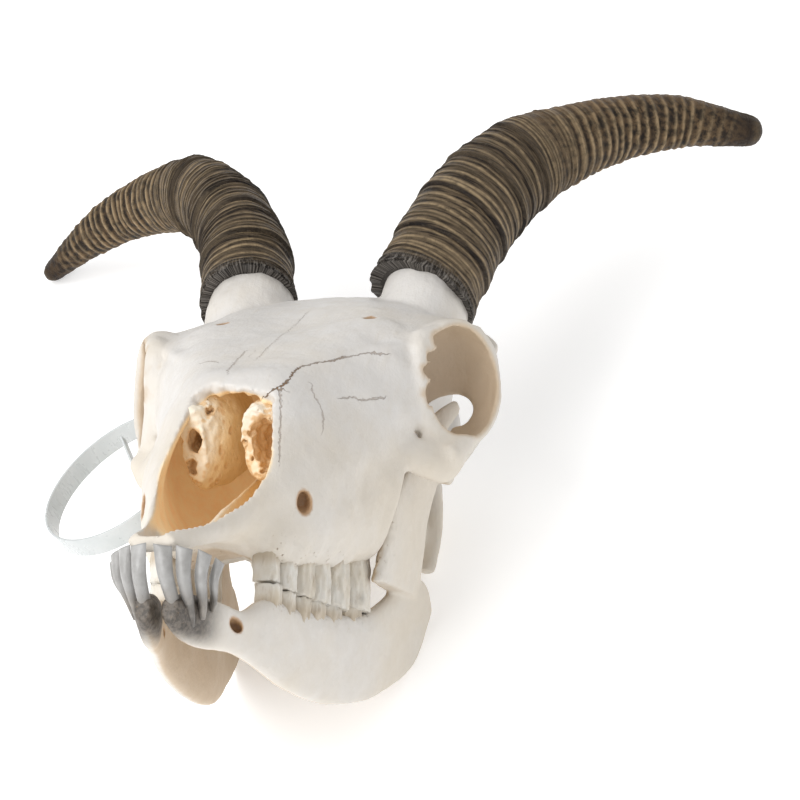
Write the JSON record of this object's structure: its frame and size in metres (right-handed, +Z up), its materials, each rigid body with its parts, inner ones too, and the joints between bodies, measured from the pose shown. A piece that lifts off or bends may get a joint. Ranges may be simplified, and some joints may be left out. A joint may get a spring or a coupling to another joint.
{
  "type": "ram skull",
  "caption": "Bleached ram skull with dark curved horns, loose lower jaw halves, a broken open nose and a plastic tag loop, lying on its jaw and one horn tip",
  "frame": {"origin": "on the floor under the middle of the object's box", "axes": "+Y runs from the snout towards the horn tips, +X to the animal's left, +Z up from the floor that the skull lies on"},
  "size_m": [0.3111, 0.3804, 0.1595],
  "materials": {
    "bone": "bleached, matt to satin, with fine grain",
    "inner_bone": "matt, cream to ochre",
    "horn": "ridged, satin, dark brown with tan ridges",
    "plastic": "translucent white, satin"
  },
  "bodies": {
    "root": {"cranium": "bone", "mandible_left": "bone", "mandible_right": "bone", "horn_left": "horn", "horn_right": "horn", "concha_left": "inner_bone", "concha_right": "inner_bone", "vomer": "inner_bone", "tag_band": "plastic"}
  },
  "joints": []
}
